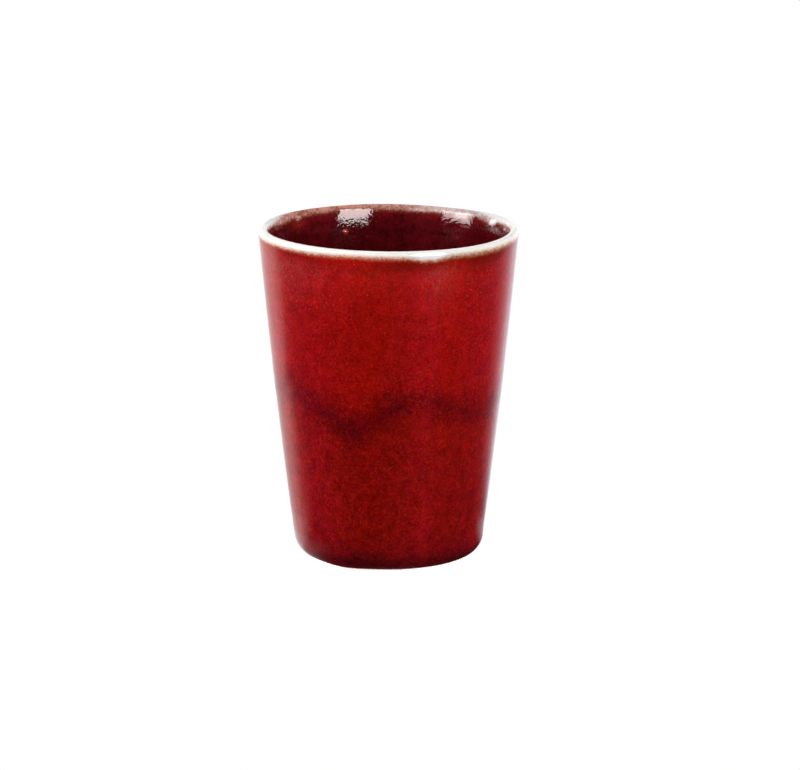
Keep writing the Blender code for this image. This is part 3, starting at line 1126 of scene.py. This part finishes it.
    # sandy skin: smooth on the crest, rougher as it goes down
    sandy = g.times(
        g.level(z, ((80.0, 1.3), (93.0, 1.4), (95.5, 1.2), (97.5, 0.6), (99.0, 0.25), (100.0, 0.15)), 0.0, 100.0),
        g.math("SUBTRACT", 1.0, on_bead),
    )
    peel = g.plus(
        g.times(
            sandy,
            g.plus(
                g.times(g.noise(place, 0.42, 0.0), 1.3),
                g.times(g.noise(g.offset(place, (5.0, 9.0, 2.0)), 0.85, 0.0), 2.6),
            ),
        ),
        g.times(g.noise(place, 4.5, 1.0, 0.4), 2.0),
    )
    g.put(shader.inputs["Normal"], g.bump(peel, 0.000016))
    return made


def bare_clay(name):
    """Unglazed white porcelain of the foot: matt, fine grain, and a painted contact shadow along its bottom edge."""
    made, shader, g, place = material(name)
    grain = g.swing(place, 0.5, 3.0, 0.7)
    patch = g.noise(place, 6.0, 2.0, 0.5)
    clay_colour = g.mix(patch, (0.86, 0.83, 0.78), (0.80, 0.745, 0.67))
    split = g.add("ShaderNodeSeparateXYZ")
    g.put(split.inputs[0], place)
    radius = g.math("SQRT", g.plus(g.times(split.outputs[0], split.outputs[0]), g.times(split.outputs[1], split.outputs[1])))
    turning = g.swing(g.colour(radius, 0.0, 0.0), 0.35, 2.0, 0.6)
    clay_colour = g.mix(g.remap(g.plus(grain, turning), 0.3, 1.1, 0.0, 0.25), clay_colour, (0.62, 0.55, 0.47))
    # a faint warm painted contact shadow round the outer bottom edge of the foot, where it meets the floor
    contact_shadow = g.times(
        g.remap(split.outputs[2], 0.42, 0.12), g.remap(radius, FOOT_OUTER - 0.40, FOOT_OUTER - 0.22)
    )
    clay_colour = g.mix(g.times(contact_shadow, 0.8), clay_colour, (0.66, 0.44, 0.39))
    g.put(shader.inputs["Base Color"], clay_colour)
    g.put(shader.inputs["Roughness"], g.math("MULTIPLY_ADD", grain, 0.08, 0.62))
    g.put(shader.inputs["Normal"], g.bump(g.plus(g.times(grain, 0.5), turning), 0.00002))
    return made


coat_looks = outside_glaze("oxblood_glaze_upper")
lower_looks = outside_glaze("oxblood_glaze_lower")
base_looks = outside_glaze("oxblood_glaze_base", pooled=True)
liner_looks = inside_glaze("maroon_liner_glaze")

for obj, looks_of, node, slot in (
    (clay, bare_clay("bare_porcelain_foot"), "porcelain_body", "porcelain"),
    (liner, liner_looks, "inner_glaze", "liner_glaze"),
    (upper_coat, coat_looks, "outer_glaze_upper", "oxblood_upper"),
    (lower_coat, lower_looks, "outer_glaze_lower", "oxblood_lower"),
    (lip_coat, coat_looks, "rim_glaze", "lip_glaze"),
    (base_coat, base_looks, "base_glaze", "oxblood_base"),
):
    obj.data.materials.append(looks_of)
    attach(obj, "root")
    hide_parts(node)

# the lip coat's inside takes the liner's thinning glaze
lip_coat.data.materials.append(liner_looks)
lip_values = np.zeros(len(lip_coat.data.vertices), np.float32)
lip_coat.data.attributes["lip"].data.foreach_get("value", lip_values)
for polygon in lip_coat.data.polygons:
    if sum(lip_values[i] for i in polygon.vertices) < 0.0:
        polygon.material_index = 1


# Studio ----------------------------------------------------------------------
scene = bpy.context.scene
scene.view_settings.view_transform = "Standard"
scene.view_settings.look = "None"
scene.view_settings.exposure = 0.0
scene.view_settings.gamma = 1.0


def studio_world():
    """White sweep behind, unlit room in front; the camera itself sees plain white."""
    world = bpy.data.worlds.new("studio")
    scene.world = world
    world.use_nodes = True
    tree = world.node_tree
    tree.nodes.clear()
    g = Graph(tree)
    way = g.add("ShaderNodeTexCoord").outputs["Generated"]
    split = g.add("ShaderNodeSeparateXYZ")
    g.put(split.inputs[0], way)
    x, y, z = split.outputs
    height = g.math("DEGREES", g.math("ARCSINE", z))
    off_back = g.math("ABSOLUTE", g.math("DEGREES", g.math("ARCTAN2", x, y)))
    rays = g.add("ShaderNodeLightPath")
    glossy = rays.outputs["Is Glossy Ray"]
    # a broad glow for the shading, a narrower one in reflections
    broad = g.times(
        g.remap(off_back, 74.0, 34.0),
        g.remap(height, -44.0, -30.0),
        g.remap(height, 52.0, 25.0),
        1.1,
    )
    narrow = g.times(g.remap(off_back, 48.0, 26.0), g.remap(height, 26.0, 8.0), 0.95)
    dome = g.times(
        g.remap(height, 0.0, 40.0, 0.03, 0.16), g.math("MULTIPLY_ADD", glossy, -0.7, 1.0)
    )
    strength = g.plus(
        g.times(broad, g.math("SUBTRACT", 1.0, glossy)), g.times(narrow, glossy), dome
    )
    strength = g.math(
        "ADD",
        g.times(strength, g.math("SUBTRACT", 1.0, rays.outputs["Is Camera Ray"])),
        rays.outputs["Is Camera Ray"],
    )
    light = g.add("ShaderNodeBackground", {"Color": (1.0, 1.0, 1.0, 1.0), "Strength": strength})
    out = g.add("ShaderNodeOutputWorld")
    g.put(out.inputs["Surface"], light.outputs[0])


studio_world()

AIM = Vector((0.0, 0.0, 0.085))


def softbox(name, azimuth, elevation, wide, high, radiance, colour=(1.0, 1.0, 1.0), roll=0.0, mirrored=True, lights=True, far=1.3):
    """A rectangular softbox, its size given as the angles it spans."""
    lamp = bpy.data.lights.new(name, "AREA")
    lamp.shape = "RECTANGLE"
    lamp.size = 2.0 * far * math.tan(math.radians(wide) / 2)
    lamp.size_y = 2.0 * far * math.tan(math.radians(high) / 2)
    lamp.energy = radiance * math.pi * lamp.size * lamp.size_y
    lamp.color = colour
    a, e = math.radians(azimuth), math.radians(elevation)
    way = Vector((math.sin(a) * math.cos(e), -math.cos(a) * math.cos(e), math.sin(e)))
    box = bpy.data.objects.new(name, lamp)
    box.location = AIM + way * far
    box.rotation_mode = "QUATERNION"
    box.rotation_quaternion = way.to_track_quat("Z", "Y") @ Quaternion(
        (0.0, 0.0, 1.0), math.radians(roll)
    )
    box.visible_camera = False
    box.visible_glossy = mirrored
    box.visible_diffuse = lights
    scene.collection.objects.link(box)
    return box


COOL = (0.93, 0.95, 1.0)
softbox("softbox_front_right", 36.8, 27.5, 29.5, 25.5, 12.5)
softbox("softbox_front_right_core", 36.8, 28.0, 29.0, 23.5, 2.8, lights=False, far=1.28)
softbox("softbox_left", -78.0, 26.8, 31.0, 21.5, 10.0, (0.96, 1.0, 1.01), roll=21.0)
softbox("softbox_left_core", -81.5, 26.5, 15.0, 12.0, 8.0, roll=18.0, far=1.28)
softbox("softbox_left_spill", -78.0, 27.0, 31.0, 21.0, 3.4, mirrored=False)
softbox("strip_left", -44.0, 42.0, 34.0, 13.0, 3.4, COOL)
softbox("spot_back_left", -124.0, 11.5, 10.0, 7.0, 8.5, lights=False)
softbox("spot_right", 103.0, 19.0, 5.0, 8.0, 4.0, lights=False)
softbox("fill_left", -118.0, 22.0, 50.0, 50.0, 3.5, mirrored=False)
softbox("fill_right", 104.0, 22.0, 50.0, 50.0, 3.0, mirrored=False)

# a snooted light from overhead, inside the lip, for the tumbler's floor
snoot_lamp = bpy.data.lights.new("snoot_overhead", "SPOT")
snoot_lamp.energy = 110.0
snoot_lamp.shadow_soft_size = 0.006
snoot_lamp.spot_size = math.radians(2.4)
snoot_lamp.spot_blend = 0.6
snoot = bpy.data.objects.new("snoot_overhead", snoot_lamp)
snoot.location = (0.0, 0.0, 1.4)
snoot.visible_camera = False
snoot.visible_glossy = False
scene.collection.objects.link(snoot)

# Plain pale floor.  The camera sees it white; in the glaze it shows as the lit
# half of a sweep, bright behind the tumbler and unlit in front.
floor_mesh = bpy.data.meshes.new("floor")
ring = [(4.0 * math.cos(t), 4.0 * math.sin(t), -0.0002) for t in np.linspace(0, math.tau, 65)[:-1]]
floor_mesh.from_pydata(ring, [], [list(range(64))])
floor = bpy.data.objects.new("floor", floor_mesh)
scene.collection.objects.link(floor)
floor.visible_transmission = False
floor.visible_shadow = False
floor_look = bpy.data.materials.new("white_floor")
floor_look.use_nodes = True
floor_look.node_tree.nodes.clear()
fg = Graph(floor_look.node_tree)
place = fg.stretch(fg.add("ShaderNodeTexCoord").outputs["Object"], (1000.0, 1000.0, 1000.0))
split = fg.add("ShaderNodeSeparateXYZ")
fg.put(split.inputs[0], place)
fx, fy, fz = split.outputs
reach = fg.math("SQRT", fg.plus(fg.times(fx, fx), fg.times(fy, fy)))
bearing = fg.math("DEGREES", fg.math("ARCTAN2", fx, fy))
lit_right = fg.times(
    fg.level(
        fg.math("ABSOLUTE", bearing),
        (
            (0.0, 1.10),
            (34.0, 1.08),
            (40.0, 0.92),
            (46.0, 0.67),
            (53.0, 0.44),
            (60.0, 0.225),
            (70.0, 0.076),
            (80.0, 0.030),
            (90.0, 0.012),
        ),
        0.0,
        180.0,
    ),
    fg.remap(reach, 40.0, 140.0, 0.75, 1.0),
)
near_right = fg.times(
    fg.remap(reach, 66.0, 44.0), fg.remap(fg.math("ABSOLUTE", bearing), 86.0, 68.0), 0.36
)
lit_right = fg.plus(lit_right, near_right)
past_edge = fg.plus(fy, fg.times(fx, 0.686), 46.9)
# the edge of the light shows softer the further off it is
past_edge = fg.math(
    "DIVIDE",
    fg.plus(
        past_edge,
        -3.0,
        fg.level(reach, ((69.0, 0.0), (113.0, 10.0), (157.0, 20.0), (196.0, 9.0), (240.0, 31.0), (300.0, 46.0)), 0.0, 400.0),
    ),
    fg.level(reach, ((69.0, 1.0), (113.0, 1.3), (157.0, 1.8), (196.0, 2.2), (300.0, 3.2)), 0.0, 400.0),
)
lit_left = fg.times(
    fg.level(
        past_edge,
        (
            (-70.0, 0.010),
            (-40.0, 0.025),
            (-20.0, 0.055),
            (-8.0, 0.12),
            (0.0, 0.22),
            (10.0, 0.46),
            (20.0, 0.69),
            (40.0, 0.78),
            (60.0, 0.80),
            (110.0, 0.86),
            (200.0, 1.0),
            (300.0, 1.12),
        ),
        -100.0,
        400.0,
    ),
    fg.remap(fg.math("ABSOLUTE", bearing), 106.0, 88.0, 0.03, 1.0),
    fg.remap(reach, 70.0, 150.0, 0.90, 1.0),
)
near_left = fg.times(
    fg.remap(reach, 47.0, 34.0), fg.remap(fg.math("ABSOLUTE", bearing), 138.0, 100.0), 0.42
)
beside = fg.times(
    fg.remap(reach, 68.0, 48.0), fg.remap(fg.math("ABSOLUTE", bearing), 100.0, 78.0), 0.16
)
lit_left = fg.plus(lit_left, near_left, beside)
to_right = fg.remap(fx, -12.0, 12.0)
mirrored = fg.plus(
    fg.times(lit_right, to_right), fg.times(lit_left, fg.math("SUBTRACT", 1.0, to_right))
)
cool = fg.mix(to_right, (1.0, 1.0, 1.0), (0.96, 0.97, 1.08))
# a little light is thrown back onto the foot itself
bounce = fg.plus(fg.remap(reach, 46.0, 27.0, 0.0, 0.45), fg.times(fg.remap(reach, 30.0, 25.0, 0.0, 2.4), fg.remap(reach, 22.8, 24.2)))
rays = fg.add("ShaderNodeLightPath")
seen = rays.outputs["Is Camera Ray"]
glossy = rays.outputs["Is Glossy Ray"]
strength = fg.plus(
    seen,
    fg.times(
        fg.math("SUBTRACT", 1.0, seen),
        fg.plus(fg.times(mirrored, fg.math("MULTIPLY_ADD", glossy, 0.15, 0.85)), fg.times(fg.math("SUBTRACT", 1.0, glossy), bounce)),
    ),
)
tint = fg.mix(glossy, (1.0, 1.0, 1.0), cool)
glow = fg.add("ShaderNodeEmission", {"Color": tint, "Strength": strength})
clear = fg.add("ShaderNodeBsdfTransparent")
side = fg.add("ShaderNodeNewGeometry").outputs["Backfacing"]
pick = fg.add("ShaderNodeMixShader")
fg.put(pick.inputs[0], side)
fg.put(pick.inputs[1], glow.outputs[0])
fg.put(pick.inputs[2], clear.outputs[0])
fg.put(fg.add("ShaderNodeOutputMaterial").inputs["Surface"], pick.outputs[0])
floor_mesh.materials.append(floor_look)

# Camera: a long lens a little above the lip, framed as an 800 x 770 picture
TARGET = Vector((0.0, 0.0, 0.05))
TILT = math.radians(13.0)
camera = bpy.data.cameras.new("camera")
camera.sensor_fit = "HORIZONTAL"
camera.sensor_width = 36.0
camera.lens = 226.07
camera.shift_x = 0.01414
camera.shift_y = 0.0067
camera.clip_start = 0.05
camera.clip_end = 30.0
eye = bpy.data.objects.new("camera", camera)
back = Vector((0.0, -math.cos(TILT), math.sin(TILT)))
eye.location = TARGET + back * 1.5
eye.rotation_mode = "QUATERNION"
eye.rotation_quaternion = back.to_track_quat("Z", "Y")
scene.collection.objects.link(eye)
scene.camera = eye
